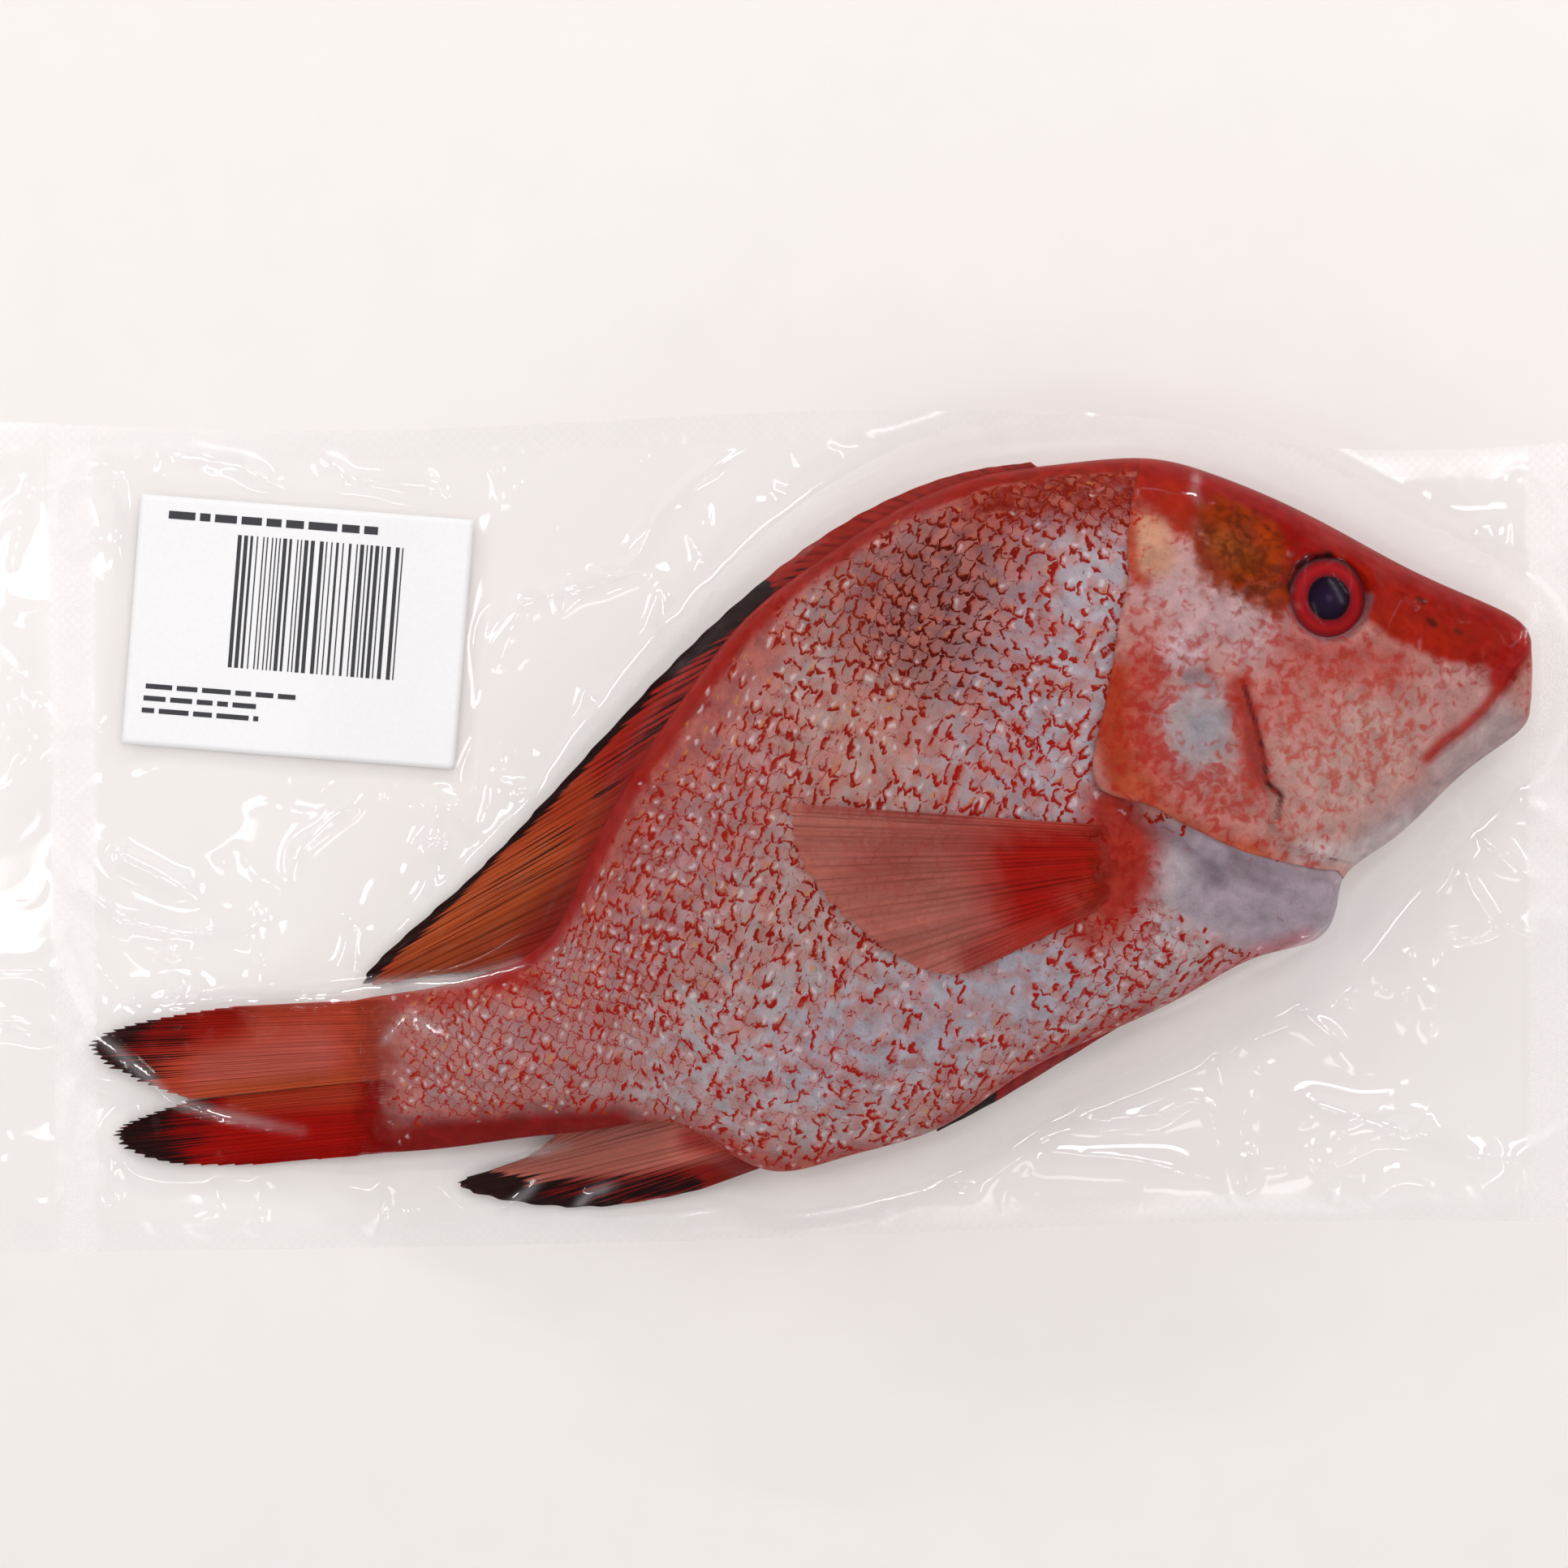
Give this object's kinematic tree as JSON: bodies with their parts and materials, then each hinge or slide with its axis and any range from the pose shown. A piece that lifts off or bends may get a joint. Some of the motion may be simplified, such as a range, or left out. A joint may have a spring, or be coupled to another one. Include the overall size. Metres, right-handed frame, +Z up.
{
  "type": "whole raw fish",
  "caption": "Whole raw red snapper lying on its side, vacuum-packed in a clear bag with a paper label.",
  "frame": {"origin": "on the table under the middle of the bag", "axes": "+X along the bag towards the fish's mouth, +Y towards the bag's long edge beside the fish's back, +Z up"},
  "size_m": [0.4, 0.202, 0.0495],
  "materials": {
    "fish_skin": "wet scaled skin",
    "clear_film": "clear film",
    "label_paper": "coated paper"
  },
  "bodies": {
    "root": {"fish": "fish_skin", "bag": "clear_film", "label": "label_paper"}
  },
  "joints": []
}
